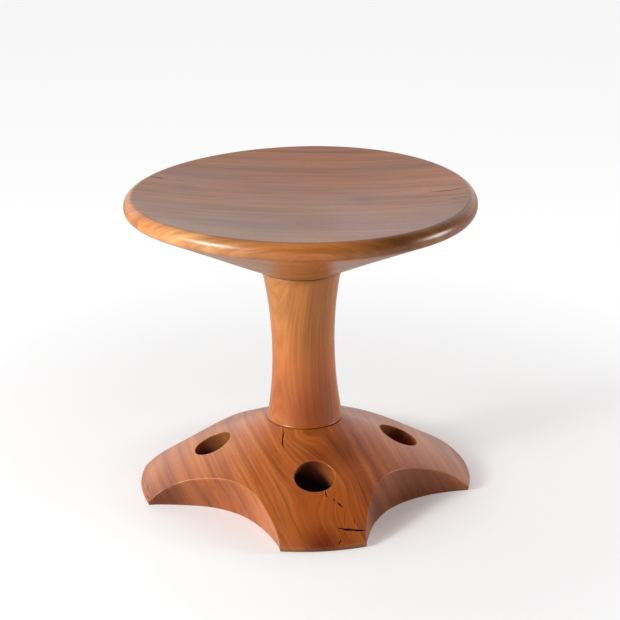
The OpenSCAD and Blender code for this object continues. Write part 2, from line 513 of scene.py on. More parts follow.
# drying cracks at both ends of the grain, as points on the seat and a half width
seatCracks = [
    ([(178, 2, 430), (205, -5, 434), (236, -4, 434)], 1.0),
    ([(198, -44, 433), (230, -47, 434)], 0.7),
    ([(197, -65, 433), (226, -70, 435)], 0.4),
    ([(-208, 114, 436), (-188, 110, 433)], 1.25),
    ([(-223, 80, 436), (-207, 79, 434)], 0.6),
    ([(-223, 55, 436), (-196, 50, 432)], 0.34),
    ([(149, -180, 436), (155, -182, 432)], 0.3),
    ([(175, -156, 435), (181, -158, 432)], 0.3),
    ([(203, -123, 434), (211, -122, 422)], 0.26),
    ([(219, -91, 434), (222, -93, 431)], 0.24),
    ([(130, -206, 426), (138, -200, 420)], 0.24),
]
cutCracks(seat, seatCracks)
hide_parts("seat")
print("seat turned")

# column
columnShape = dict(
    waistWidth=89.4, waistHeight=211.4, topWidth=118.4, topFlare=2.7, flareHeight=14, footWidth=109,
    footHeight=102.4, footBead=1.7, beadEnd=62, beadRound=0.7, topRound=1.9, tenonRadius=25, tenonFoot=2,
    tenonTop=379.68, drifts=((0.43, 0), (-2.5, 0.2)), warp={}, sides=200, wander=0.3, seed=9,
)
wedgeShape = dict(thick=8, tip=1.5, length=38, slotWidth=52)


def columnOutline(s, topZ):
    waistR, footR, hubR = s["waistWidth"] / 2, s["footWidth"] / 2, s["topWidth"] / 2
    waistZ, footZ, tenonR = s["waistHeight"], s["footHeight"], s["tenonRadius"]
    bead, beadEnd = s["footBead"], math.radians(s["beadEnd"])
    beadTop, beadIn = bead * (1 + math.sin(beadEnd)), bead * (1 - math.cos(beadEnd))
    up = waistZ - footZ - beadTop
    lowerR = sagittaRadius(up, footR - beadIn - waistR)
    lowerA = math.degrees(math.asin(up / lowerR))
    upperR = sagittaRadius(topZ - waistZ, hubR - s["topFlare"] - waistR)
    flareA = math.asin((topZ - s["flareHeight"] - waistZ) / upperR)
    flareStart = (waistR + upperR - upperR * math.cos(flareA), waistZ + upperR * math.sin(flareA))
    direction = (math.cos(flareA), -math.sin(flareA))
    chord = (hubR - flareStart[0], topZ - flareStart[1])
    flareR = (chord[0] ** 2 + chord[1] ** 2) / (2 * (chord[0] * direction[0] + chord[1] * direction[1]))
    flareC = (flareStart[0] + flareR * direction[0], flareStart[1] + flareR * direction[1])
    flareEnd = math.degrees(math.atan2(topZ - flareC[1], hubR - flareC[0])) % 360
    points = Outline([(0, s["tenonFoot"])])
    points.line((tenonR, s["tenonFoot"]), steps=4)
    points.line((tenonR, footZ), steps=4)
    points.line((footR - bead, footZ), steps=4)
    points.arc((footR - bead, footZ + bead), bead, -90, s["beadEnd"], steps=12)
    beadIndex = len(points) - 1
    points.arc((waistR + lowerR, waistZ), lowerR, lowerA + 180, 180, steps=26)
    points.arc((waistR + upperR, waistZ), upperR, 180, 180 - math.degrees(flareA), steps=26)
    points.arc(flareC, flareR, 180 - math.degrees(flareA), flareEnd, steps=6)
    topIndex = len(points) - 1
    points.line((tenonR, topZ), steps=4)
    points.line((tenonR, s["tenonTop"]), steps=4)
    points.line((0, s["tenonTop"]), steps=4)
    points.soften(topIndex, s["topRound"])
    points.soften(beadIndex, s["beadRound"])
    return points


def columnShare(z):
    return min(1.0, max(0.0, (z - columnShape["footHeight"]) / (hubZ - columnShape["footHeight"])))


def slotCutter(name, tip, end, past):
    # a taper for a wedge, wider than its tenon, run on past the tenon's end
    half, tipHalf, endHalf = (wedgeShape[key] / 2 * mm for key in ("slotWidth", "tip", "thick"))
    tipZ, endZ, pastZ = tip * mm, end * mm, (end + past) * mm
    outline = [(-tipHalf, tipZ), (tipHalf, tipZ), (endHalf, endZ)]
    outline += [(endHalf, pastZ), (-endHalf, pastZ), (-endHalf, endZ)]
    vertices = [(x, y, z) for y in (-half, half) for x, z in outline]
    walls = [(i, i + 6, (i + 1) % 6 + 6, (i + 1) % 6) for i in range(6)]
    mesh = plainMesh(name, vertices, [range(6), range(11, 5, -1)] + walls)
    mesh.materials.append(columnWood)
    tidyMesh(mesh)
    return placed(name, mesh)


columnPoints = columnOutline(columnShape, hubZ)
columnShares = [columnShare(z) for r, z in columnPoints]
column = turnedPiece("column_turned", columnPoints, columnShares, columnWood, columnShape)
tenonTop, tenonFoot, wedgeLength = columnShape["tenonTop"], columnShape["tenonFoot"], wedgeShape["length"]
cutAway(column, slotCutter("upper_slot", tenonTop - wedgeLength, seatShape["socketEnd"], 1))
cutAway(column, slotCutter("lower_slot", tenonFoot + wedgeLength, tenonFoot, -1))
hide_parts("column")
print("column turned")

# base
baseShape = dict(
    width=479, height=102.4, landRadius=54.5, slope=24.696, shoulderRadius=116, shoulderSlope=46.8,
    edgeRadius=4, edgeUp=5.7, edgeTuck=1.5, floorRound=1.1, socketRadius=25.15,
    # rounded edges: a scoop's lip from lipRadii's first radius in, and near a foot's tip from the second out
    lipRound=1.4, cornerRound=0.8, lipRadii=(200, 232), floorLip=0.6, holeRound=1.0,
    # each scoop by the angle of its middle: radius and least distance from the axis, then how far its lip
    # and its floor edge stray outwards from that arc, at seven even turns from one foot to the other
    scoops={
        -45: (164.8, 159.3, (-7.0, -4.0, -1.4, 2.6, 1.5, 1.0, 4.6), (-1.6, -1.0, 0.3, 1.0, -0.7, -1.0, 4.5)),
        45: (168, 158, (0.8, -0.9, -1.6, -0.6, 0.9, 1.2, 0.4), (0.6, 0.4, -0.5, -0.8, 0.2, 0.9, 0.3)),
        135: (168, 158, (-0.5, 0.7, 1.3, 0.2, -1.1, -1.4, 0.3), (-0.4, 0.2, 0.8, 0.5, -0.4, -0.9, 0.2)),
        -135: (158.5, 151.5, (2, -6, -6.8, -7.9, -7.6, -3.6, -4.2), (3.4, -2.2, -2, 1.2, 1.6, -1.6, 0.6)),
    },
    strayStep=16, strayFade=12,
    # the hole in each foot, by its angle: width, and how far its mouth is from the axis
    holes={-90: (57.2, 134.5), 0: (59.6, 136.8), 90: (56, 134.5), 180: (56.8, 134.5)},
)
# how finely the base is divided: spacings of points, and how far they keep from edges
baseGrid = dict(
    lip=2.6, lipEnd=235.5, rimStart=235.0, beside=(0.9, 2.6),
    wall=3.4, wallLowest=2.4, wallHighest=60, wallShift=0.9, wallMargin=3,
    holeSides=84, holeBeside=(0.9, 2.4), socketSides=72,
    top=3.0, topMargin=4.4, besideMargin=1.5, rimMargin=1.8, socketMargin=2,
    floor=9.0, floorReach=240, floorMargin=5, floorEdgeMargin=6, floorSocketMargin=4,
    # how many times an edge's points are moved nearer to where its two surfaces meet
    settling=8, holeSettling=12,
)


def baseOutline(s):
    # the domed top from the socket out to the floor
    baseR, edgeR = s["width"] / 2, s["edgeRadius"]
    edgeC = (baseR - edgeR, s["edgeUp"])
    slope, inner = math.radians(s["shoulderSlope"]), s["shoulderRadius"] - edgeR
    shoulderC = (edgeC[0] - inner * math.sin(slope), edgeC[1] - inner * math.cos(slope))
    shoulderTurn = 90 - s["slope"], 90 - s["shoulderSlope"]
    shoulder = arcPoints(shoulderC, s["shoulderRadius"], *shoulderTurn, 24, skipFirst=False)
    points = Outline([(s["socketRadius"], s["height"])])
    points.line((s["landRadius"], s["height"]), steps=10)
    points.line(shoulder[0], steps=60)
    points.extend(shoulder[1:])
    points.arc(edgeC, edgeR, 90 - s["shoulderSlope"], 0, steps=5)
    points.line((baseR - s["edgeTuck"], 0.0), steps=3)
    cornerIndex = len(points) - 1
    points.append((points[-1][0] - 6, 0.0))  # gives the corner its second side, and goes again
    points.soften(cornerIndex, s["floorRound"], steps=3)
    return np.array(points[:-1])


domeOutline = baseOutline(baseShape)
domeSteps = np.linalg.norm(np.diff(domeOutline, axis=0), axis=1)
domeRun = np.concatenate([[0], np.cumsum(domeSteps)]) + baseShape["socketRadius"]
domeTangent = np.gradient(domeOutline, domeRun, axis=0)
domeTangent /= np.linalg.norm(domeTangent, axis=1)[:, None]
domeNormal = np.stack([-domeTangent[:, 1], domeTangent[:, 0]], 1)
widest = int(np.argmax(domeOutline[:, 0]))
floorRadius = domeOutline[-1, 0]


def fromAxis(points):
    return np.hypot(points[:, 0], points[:, 1])


def bearing(points):
    return np.arctan2(points[:, 1], points[:, 0])


def facingDown(count):
    return np.tile((0.0, 0.0, -1.0), (count, 1))


def domeAtRun(run):
    # radius, height and outward normal at a distance along the outline
    known = (domeOutline[:, 0], domeOutline[:, 1], domeNormal[:, 0], domeNormal[:, 1])
    return [np.interp(run, domeRun, values) for values in known]


def runAtRadius(radius):
    return np.interp(radius, domeOutline[: widest + 1, 0], domeRun[: widest + 1])


def heightAtRadius(radius):
    return domeAtRun(runAtRadius(radius))[1]


def runOf(points):
    # distance along the outline of points on the dome, by height below the flat top
    byHeight = np.interp(-points[:, 2], -domeOutline[10:, 1], domeRun[10:])
    return np.where(points[:, 2] > baseShape["height"] - 0.05, fromAxis(points), byHeight)


def unrolled(points):
    around = bearing(points)
    return runOf(points)[:, None] * np.stack([np.cos(around), np.sin(around)], 1)


def onDome(run, angle):
    radius, height, outward, upward = domeAtRun(run)
    points = np.stack([radius * np.cos(angle), radius * np.sin(angle), height], -1)
    normals = np.stack([outward * np.cos(angle), outward * np.sin(angle), upward], -1)
    return points, normals


def roundedEdge(points, surfaceNormals, wallNormals, radii, steps=4):
    # rows of points that roll from the surface over its edge and on to the wall
    between = np.arccos(np.clip((surfaceNormals * wallNormals).sum(1), -0.999, 0.999))
    radii = np.broadcast_to(radii, between.shape)
    centres = points - (radii / (1 + np.cos(between)))[:, None] * (surfaceNormals + wallNormals)
    rows = []
    for t in (i / steps for i in range(steps + 1)):
        first, last = np.sin((1 - t) * between)[:, None], np.sin(t * between)[:, None]
        mix = (first * surfaceNormals + last * wallNormals) / np.sin(between)[:, None]
        rows.append(centres + radii[:, None] * mix)
    return rows


def filledLoops(loops, inside, flatten):
    # triangles that fill the region between closed loops, with loose points inside it
    solid = np.concatenate(loops + [inside])
    flat = flatten(solid)
    edges, start = [], 0
    for loop in loops:
        n = len(loop)
        edges += [(start + i, start + (i + 1) % n) for i in range(n)]
        start += n
    corners = [Vector(p) for p in flat.tolist()]
    outVerts, _, outFaces, sources, _, _ = delaunay_2d_cdt(corners, edges, [], 0, 1e-6)
    solidOut = solid[[source[0] for source in sources]]
    flatOut = np.array([tuple(v) for v in outVerts])
    triangles = np.array(outFaces)
    middles = flatOut[triangles].mean(1)
    # a triangle is inside where a level line from it crosses the loops an odd number of times
    crossings = np.zeros(len(middles), int)
    for a, b in edges:
        (ax, ay), (bx, by) = flat[a], flat[b]
        if ay != by:
            spans = (middles[:, 1] > min(ay, by)) & (middles[:, 1] <= max(ay, by))
            crossings += spans & (middles[:, 0] < ax + (middles[:, 1] - ay) * (bx - ax) / (by - ay))
    return solidOut, triangles[crossings % 2 == 1]


def smoothTable(values, spots):
    # a curve that passes smoothly through evenly spaced values; spots count from the first value
    padded = np.concatenate([[2 * values[0] - values[1]], values, [2 * values[-1] - values[-2]]])
    spots = np.clip(spots, 0, len(values) - 1.000001)
    whole = spots.astype(int)
    t = spots - whole
    a, b, c, d = (padded[whole + k] for k in range(4))
    return b + 0.5 * t * (c - a + t * (2 * a - 5 * b + 4 * c - d + t * (3 * (b - c) + d - a)))


class Scoop:
    # an arc cut into the base, whose lip and floor edge stray from it as carved by hand
    def __init__(self, angle, radius, nearest, lipStrays, floorStrays):
        self.radius, self.out, self.middle = radius, nearest + radius, math.radians(angle)
        self.centre = self.out * np.array([math.cos(self.middle), math.sin(self.middle)])
        self.strays = {"lip": lipStrays, "floor": floorStrays}

    def swings(self, points):
        # turn of each point about the arc's centre, from the arc's deepest point
        offset = points[:, :2] - self.centre
        return (bearing(offset) - self.middle) % (2 * np.pi) - np.pi

    def reach(self, swing, edge):
        step = math.radians(baseShape["strayStep"])
        return self.radius + smoothTable(self.strays[edge], np.asarray(swing) / step + 3)

    def planRadius(self, swing, reach):
        return np.sqrt(self.out ** 2 + reach ** 2 - 2 * self.out * reach * np.cos(swing))

    def swingAt(self, planRadius, reach):
        share = (self.out ** 2 + reach ** 2 - np.square(planRadius)) / (2 * self.out * reach)
        return np.arccos(np.clip(share, -1, 1))

    def wallReach(self, swing, height):
        # from the floor edge up to the lip, and towards the feet's low tips the floor edge's reach alone
        lipHeight = heightAtRadius(self.planRadius(swing, self.reach(swing, "lip")))
        share = np.clip(height / np.maximum(lipHeight, baseShape["strayFade"]), 0, 1)
        return self.reach(swing, "lip") * share + self.reach(swing, "floor") * (1 - share)

    def at(self, swing, reach, height):
        turn = self.middle + np.pi + swing
        x, y = self.centre[0] + reach * np.cos(turn), self.centre[1] + reach * np.sin(turn)
        return np.stack([x, y, height], 1)

    def outOfWall(self, swing):
        # the wall's normals, towards the arc's centre or away from it
        turn = self.middle + np.pi + swing
        return np.stack([-np.cos(turn), -np.sin(turn), np.zeros_like(swing)], 1)

    def unrolled(self, points):
        # the wall laid flat: the way along the arc, and the height
        return np.stack([self.radius * self.swings(points), points[:, 2]], 1)

    def beyond(self, points, edge, margin):
        away = fromAxis(points[:, :2] - self.centre)
        return away > self.reach(self.swings(points), edge) + margin

    def lipHalf(self, side):
        # swings, and runs on the dome's outline, from the deepest point to a foot's tip and down to the floor
        tip, settling = baseGrid["lipEnd"], range(baseGrid["settling"])
        last = self.swingAt(tip, self.radius)
        for _ in settling:
            last = self.swingAt(tip, self.wallReach(side * last, heightAtRadius(tip)))
        swings = np.linspace(0, float(last), max(2, int(last * self.radius / baseGrid["lip"])))
        runs = runAtRadius(self.planRadius(swings, self.radius))
        for _ in settling:
            runs = runAtRadius(self.planRadius(swings, self.wallReach(side * swings, domeAtRun(runs)[1])))
        tail = domeRun[domeRun > runs[-1] + 0.4]
        tailRadius, tailHeight = domeAtRun(tail)[:2]
        tailSwings = self.swingAt(tailRadius, self.radius)
        for _ in settling:
            tailSwings = self.swingAt(tailRadius, self.wallReach(side * tailSwings, tailHeight))
        return side * np.concatenate([swings, tailSwings]), np.concatenate([runs, tail]), float(last)


class BasePatches:
    # collects the patches of the base, which share their border points
    def __init__(self):
        self.vertices, self.faces = [], []
        # loops round the domed top and the flat underside, and points beside them that keep the faces even
        self.topLoops, self.floorLoops, self.supports = [], [], []
        self.scoops, self.lips, self.holes = [], {}, []

    def put(self, vertices, faces):
        start = len(self.vertices)
        self.vertices += [tuple(v) for v in vertices]
        self.faces += [tuple(start + i for i in f) for f in faces]

    def strip(self, rows):
        # quads between closed rows of points
        n = len(rows[0])
        faces = []
        for k in range(len(rows) - 1):
            for i in range(n):
                j = (i + 1) % n
                faces.append((k * n + i, k * n + j, (k + 1) * n + j, (k + 1) * n + i))
        self.put(np.concatenate(rows), faces)

    def clear(self, points, edge, margin):
        # which points keep a margin from every scoop and hole
        fine = np.ones(len(points), bool)
        for scoop in self.scoops:
            fine &= scoop.beyond(points, edge, margin)
        for mouth, along, holeRadius in self.holes:
            fine &= np.linalg.norm(inHoleAxes(points, mouth, along)[1], axis=1) > holeRadius + margin
        return fine


def inHoleAxes(points, mouth, along):
    # how deep each point is below the hole's mouth, and its offset aside from the hole's axis
    offset = points - mouth
    depth = -(offset @ along)
    return depth, offset + depth[:, None] * along


def putScoop(patches, s, angle, setup):
    # the rounded lip, the floor edge and the wall of one scoop
    scoop = Scoop(angle, *setup)
    patches.scoops.append(scoop)
    (before, runsBefore, firstBend), (after, runsAfter, lastBend) = scoop.lipHalf(-1), scoop.lipHalf(1)
    swings = np.concatenate([before[::-1], after[1:]])
    lipRadius, lipHeight, outward, upward = domeAtRun(np.concatenate([runsBefore[::-1], runsAfter[1:]]))
    lip = scoop.at(swings, scoop.wallReach(swings, lipHeight), lipHeight)
    around = bearing(lip)
    surface = np.stack([outward * np.cos(around), outward * np.sin(around), upward], 1)
    surface[0] = surface[-1] = (0, 0, -1)
    wall = scoop.outOfWall(swings)
    size = np.interp(lipRadius, s["lipRadii"], [s["lipRound"], s["cornerRound"]])
    # the floor edge of the scoop closes the loop
    floorSwings = np.linspace(swings[-1], swings[0], len(swings))[1:-1]
    floorEdge = scoop.at(floorSwings, scoop.reach(floorSwings, "floor"), np.zeros_like(floorSwings))
    rows = roundedEdge(
        np.concatenate([lip, floorEdge]),
        np.concatenate([surface, facingDown(len(floorEdge))]),
        np.concatenate([wall, scoop.outOfWall(floorSwings)]),
        np.concatenate([size, np.full(len(floorEdge), s["floorLip"])]),
    )
    patches.strip(rows)
    n = len(swings)
    # a scoop's lip runs clockwise round the base, and is kept the other way
    patches.lips[angle] = (rows[0][:n][::-1], np.concatenate([rows[0][n - 1:], rows[0][:1]]))
    away = wall - (surface * wall).sum(1)[:, None] * surface
    away /= np.linalg.norm(away, axis=1)[:, None]
    for reach in baseGrid["beside"]:
        patches.supports.append((rows[0][:n] - away * reach)[(swings > -firstBend) & (swings < lastBend)])
    # loose points on the wall, in rows of which every second one is shifted
    gap, shift = baseGrid["wall"], baseGrid["wallShift"]
    steps = np.arange(swings[0] * scoop.radius + 1, swings[-1] * scoop.radius, gap)
    heights = np.arange(baseGrid["wallLowest"], baseGrid["wallHighest"], gap)
    grid = np.array([(step + shift * (int(high / gap) % 2), high) for step in steps for high in heights])
    turn, high = grid[:, 0] / scoop.radius, grid[:, 1]
    top = heightAtRadius(scoop.planRadius(turn, scoop.reach(turn, "lip")))
    margin = baseGrid["wallMargin"] / scoop.radius
    kept = (high < top - baseGrid["wallMargin"]) & (turn > swings[0] + margin) & (turn < swings[-1] - margin)
    turn, high = turn[kept], high[kept]
    inside = scoop.at(turn, scoop.wallReach(turn, high), high)
    patches.put(*filledLoops([rows[-1]], inside, scoop.unrolled))


def joinFeet(patches):
    # the outer border goes round lip by lip, with an arc of each foot between
    order = sorted(patches.lips)
    topBorder, floorBorder = [], []
    for i, angle in enumerate(order):
        lip, floorEdge = patches.lips[angle]
        nextLip = patches.lips[order[(i + 1) % len(order)]][0]
        start, end = (math.atan2(p[1], p[0]) for p in (lip[-1], nextLip[0]))
        span = (end - start) % (2 * math.pi)
        steps = int(span * floorRadius / baseGrid["lip"])
        arc, _ = onDome(np.full(steps - 1, domeRun[-1]), start + span * np.arange(1, steps) / steps)
        topBorder += [lip, arc]
        floorBorder += [floorEdge, arc]
        for run in domeRun[domeRun > runAtRadius(baseGrid["rimStart"])][:-1]:
            ring, _ = onDome(np.full(steps, run), start + span * (np.arange(steps) + 0.5) / steps)
            patches.supports.append(ring)
    patches.topLoops.append(np.concatenate(topBorder))
    patches.floorLoops.append(np.concatenate(floorBorder))


def putHole(patches, s, angle, width, out):
    # a hole square to the slope, with rounded edges at its mouth and at the floor
    slope, around, holeRadius = math.radians(s["slope"]), math.radians(angle), width / 2
    mouthHeight = s["height"] - (out - s["landRadius"]) * math.tan(slope)
    outward, upward = np.array([math.cos(around), math.sin(around), 0]), np.array([0.0, 0.0, 1.0])
    along = math.sin(slope) * outward + math.cos(slope) * upward
    firstSide = math.cos(slope) * outward - math.sin(slope) * upward
    secondSide = np.array([-math.sin(around), math.cos(around), 0])
    mouth = out * outward + mouthHeight * upward
    patches.holes.append((mouth, along, holeRadius))
    turns = np.arange(baseGrid["holeSides"]) / baseGrid["holeSides"] * 2 * np.pi
    radial = np.cos(turns)[:, None] * firstSide + np.sin(turns)[:, None] * secondSide
    rim = mouth + holeRadius * radial
    for _ in range(baseGrid["holeSettling"]):
        gap = rim[:, 2] - heightAtRadius(fromAxis(rim))
        rim = rim - (gap * math.cos(slope))[:, None] * along
    _, rimNormals = onDome(runAtRadius(fromAxis(rim)), bearing(rim))
    foot = rim - (rim[:, 2] / along[2])[:, None] * along
    upper = roundedEdge(rim, rimNormals, -radial, s["holeRound"])
    lower = roundedEdge(foot, facingDown(len(foot)), -radial, s["floorLip"])
    shares = [0, 0.03] + list(np.linspace(0.08, 0.94, 13)) + [1]
    patches.strip(upper)
    patches.strip([upper[-1] + (lower[-1] - upper[-1]) * t for t in shares])
    patches.strip(lower)
    patches.topLoops.append(upper[0])
    patches.floorLoops.append(lower[0])
    spread = upper[0] - rim
    spread /= np.linalg.norm(spread, axis=1)[:, None]
    patches.supports += [upper[0] + spread * reach for reach in baseGrid["holeBeside"]]


def putSocket(patches, s):
    # the through socket for the column
    sides, radius = baseGrid["socketSides"], s["socketRadius"]
    turns = np.arange(sides) / sides * 2 * np.pi
    ring = np.stack([np.cos(turns) * radius, np.sin(turns) * radius, np.full(sides, s["height"])], 1)
    rings = [ring] + [ring * (1, 1, share) for share in (0.66, 0.33, 0)]
    patches.strip(rings)
    patches.topLoops.append(rings[0])
    patches.floorLoops.append(rings[-1])


def staggered(reach, gap, rowGap):
    # points in plan, in rows of which every second one is shifted by half a gap
    columns, rows = np.arange(-reach, reach, gap), np.arange(-reach, reach, rowGap)
    return np.array([(x + (i % 2) * gap / 2, y) for i, y in enumerate(rows) for x in columns])


def putTop(patches, s):
    # the domed top, with loose points on a triangular grid of even spacing
    gap = baseGrid["top"]
    grid = staggered(domeRun[-1], gap, gap * 0.866)
    run = fromAxis(grid)
    outmost = runAtRadius(baseGrid["rimStart"]) - baseGrid["rimMargin"]
    keep = (run > s["socketRadius"] + baseGrid["socketMargin"]) & (run < outmost)
    loose, _ = onDome(run[keep], bearing(grid[keep]))
    # the points beside the edges are laid on the dome, apart from those below its widest place
    supports = np.concatenate(patches.supports)
    low = supports[:, 2] < domeOutline[widest, 1] + 0.01
    supports[:, 2] = np.where(low, supports[:, 2], heightAtRadius(fromAxis(supports)))
    clouds = ((loose, baseGrid["topMargin"]), (supports, baseGrid["besideMargin"]))
    kept = np.concatenate([cloud[patches.clear(cloud, "lip", margin)] for cloud, margin in clouds])
    patches.put(*filledLoops(patches.topLoops, kept, unrolled))


def putUnderside(patches, s):
    # the flat underside, again with loose points
    grid = staggered(baseGrid["floorReach"], baseGrid["floor"], baseGrid["floor"])
    grid = np.column_stack([grid, np.zeros(len(grid))])
    away = fromAxis(grid)
    fine = patches.clear(grid, "floor", baseGrid["floorMargin"])
    fine &= away < floorRadius - baseGrid["floorEdgeMargin"]
    fine &= away > s["socketRadius"] + baseGrid["floorSocketMargin"]
    patches.put(*filledLoops(patches.floorLoops, grid[fine], lambda points: points[:, :2]))


def buildBase(s):
    patches = BasePatches()
    for angle, setup in s["scoops"].items():
        putScoop(patches, s, angle, setup)
    joinFeet(patches)
    for angle, (width, out) in s["holes"].items():
        putHole(patches, s, angle, width, out)
    putSocket(patches, s)
    putTop(patches, s)
    putUnderside(patches, s)
    return patches


patches = buildBase(baseShape)
baseMesh = plainMesh("base_carved", np.array(patches.vertices) * mm, patches.faces)
baseMesh.materials.append(baseWood)
base = placed("base_carved", baseMesh)
baseCracks = [
    ([(12, -160, 54), (13, -170, 49)], 1.5),
    ([(21, -172, 48), (24, -177, 45)], 1.4),
    ([(26, -178, 45), (33, -187, 40)], 1.6),
    ([(35, -193, 37), (34, -205, 32), (32, -216, 25)], 0.3),
    ([(23, -218, 25), (34, -220, 23), (45, -220, 21), (62, -219, 20)], 1.75),
    ([(48, -204, 31), (46, -213, 26)], 0.5),
    ([(26, -232, 14), (22, -237, 9)], 1.15),
    ([(1, -213, 29), (-1, -222, 22)], 0.36),
    ([(-36, -41, 102), (-36, -52, 98), (-39, -70, 91), (-39, -82, 86)], 1.1),
    ([(-50, -76, 86), (-48, -86, 82)], 0.45),
    ([(-229, -24, 16), (-232, -38, 12)], 0.5),
    ([(-233, -45, 10), (-230, -61, 9)], 0.5),
]
tidyMesh(base.data)
cutCracks(base, baseCracks)
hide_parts("base")
print("base carved")

# painted shade: dark in the seams within a short reach, and in the feet's holes from one depth to another,
# starting higher on the side that the side vector points to, towards the key lamp, where the walls lie in
# shadow
shading = dict(seamReach=2.4, holeDark=0.25, darkFrom=22, darkTo=46, shadingSide=(-0.9, -0.44, 0))


def inSeams(spots):
    # painted shade in the joint lines above and below the column
    outside = fromAxis(spots) > columnShape["tenonRadius"] + 2
    near = np.minimum(np.abs(spots[:, 2] - hubZ), np.abs(spots[:, 2] - columnShape["footHeight"]))
    return outside * (1 - near / shading["seamReach"])


def inHoles(spots):
    # painted shade in the holes of the feet, darker the deeper, and from nearer the mouth on the shadowed
    # side
    dark = np.zeros(len(spots))
    first, last, least = shading["darkFrom"], shading["darkTo"], shading["holeDark"]
    for mouth, along, holeRadius in patches.holes:
        depth, aside = inHoleAxes(spots, mouth, along)
        away = np.linalg.norm(aside, axis=1)
        # walls on the side towards the key lamp face away from it, so their painted shade starts nearer the
        # mouth
        side = np.clip(0.5 + 0.9 * (aside @ np.array(shading["shadingSide"])) / np.maximum(away, 1), 0, 1)
        starts = first * (1 - 0.9 * side)
        deep = np.clip((depth - starts) / ((last - first) * (1 - 0.6 * side)), 0, 1)
        inside = (away < holeRadius + 0.05) & (depth > 0.5)
        dark = np.where(inside, np.maximum(dark, least + (1 - least) * deep), dark)
    return dark


# each piece stores its painted shade: in the joints for the seat and column, in the holes for the base
for piece, slot, darkness in (
    (seat, "seat_wood", inSeams),
    (column, "column_wood", inSeams),
    (base, "base_wood", inHoles),
):
    spots = np.array([tuple(v.co) for v in piece.data.vertices]) / mm
    store(piece.data, "paintedShade", np.clip(darkness(spots), 0, 1))
    markEdges(piece.data)
    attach(piece, "root")
for name in ("seat_wedge", "base_wedge"):
    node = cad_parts[name]
    node.data.materials.clear()
    node.data.materials.append(wedgeWood)


# wood: the figure, the wear and the knots are node groups that every wood shares
def makeWoodFigure():
    tree, board, given, made = newTree(
        "ShaderNodeTree", "woodFigure",
        {"Place": (0.0, 0.0, 0.0), "Grain": (1.0, 0.0, 0.0), "Across": (0.0, 0.0, 1.0), "Bend": 0.0,
         "Band Spacing": 0.018, "Streak Spacing": 0.006, "Line Spacing": 0.012, "Wander": 0.006,
         "Seed": 0.0},
        dict.fromkeys(("Bands", "Streaks", "Lines", "Pores", "Clouds", "Height"), "Float"),
    )
    square = board.vector("CROSS_PRODUCT", given["Grain"], given["Across"])
    ways = (given["Grain"], given["Across"], square)
    along, across, third = (board.vector("DOT_PRODUCT", given["Place"], way) for way in ways)

    def figure(scales, shifted, detail, roughness=0.5):
        # noise in the wood's own directions: along the grain, across it, and square to both
        spot = board.combine(*(board.times(a, b) for a, b in zip((along, shifted, third), scales)))
        return board.noise(spot, 1.0, detail, roughness, given["Seed"])

    wandering = board.stray(figure((5, 9, 9), across, 1.0), given["Wander"], 4.0)
    bent = board.plus(board.plus(across, given["Bend"]), wandering)
    band, streak, line = (board.over(2.0, given[name + " Spacing"]) for name in ("Band", "Streak", "Line"))
    found = {
        "Bands": board.rise(figure((2.6, band, 6.0), bent, 1.6, 0.45), 0.28, 0.72),
        "Lines": board.rise(figure((3.2, line, 12.0), bent, 2.4, 0.55), 0.53, 0.7),
        "Streaks": board.rise(figure((7.0, streak, 60.0), bent, 4.0, 0.6), 0.3, 0.7),
        "Pores": board.rise(figure((120.0, 1500.0, 1500.0), bent, 1.0), 0.6, 0.72),
        "Clouds": board.rise(figure((9.0, 13.0, 13.0), across, 3.0), 0.3, 0.7),
    }
    found["Height"] = board.timesPlus(found["Pores"], -1.0, board.times(found["Streaks"], 0.35))
    for name, value in found.items():
        board.feed(made[name], value)
    return tree


def makeRoundFall():
    # a value that is highest at a point and falls off round it, for knots, stains and patches of painted
    # light and shade
    tree, board, given, made = newTree(
        "ShaderNodeTree", "roundFall",
        {"Place": (0.0, 0.0, 0.0), "Middle": (0.0, 0.0, 0.0), "Reach": 0.04, "Peak": 1.0}, {"Fall": "Float"},
    )
    away = board.vector("LENGTH", board.vector("SUBTRACT", given["Place"], given["Middle"]))
    share = board.over(away, given["Reach"])
    fall = board.math("EXPONENT", board.times(board.times(share, share), -1.0))
    board.feed(made["Fall"], board.times(fall, given["Peak"]))
    return tree


def makeEdgeWear():
    # rubbed edges, from the curvature that is stored on the mesh
    tree, board, given, made = newTree(
        "ShaderNodeTree", "edgeWear",
        {"Place": (0.0, 0.0, 0.0), "Edge": 0.0, "Patch Length": 0.02}, {"Wear": "Float"},
    )
    spot = board.vector("SCALE", given["Place"], board.over(1.0, given["Patch Length"]))
    uneven = board.times(board.minus(board.noise(spot, 1.0, 3.0), 0.5), 0.7)
    board.feed(made["Wear"], board.rise(board.plus(given["Edge"], uneven), 0.25, 0.85))
    return tree


woodFigure, roundFall, edgeWear = makeWoodFigure(), makeRoundFall(), makeEdgeWear()


def linear(colour):
    # a colour as it is read on a screen, 0 to 255, to the values that shaders take
    parts = [c / 255 for c in colour]
    return tuple(c / 12.92 if c <= 0.04045 else ((c + 0.055) / 1.055) ** 2.4 for c in parts) + (1.0,)


def unit(vector):
    return tuple(Vector(vector).normalized())


# what most of the woods share; a wood's own dictionary comes before it
commonLook = dict(
    # inside is the near-black colour of the painted shade in holes and joints
    end=(140, 84, 50), inside=(14, 6, 3), shares=(0.4, 0.4, 0.2), lineShare=0.3, endShare=0.4,
    paintedShadeShare=0.95, bump=0.08, ior=1.55, knots=(), stainsAndPaintedLight=(),
)
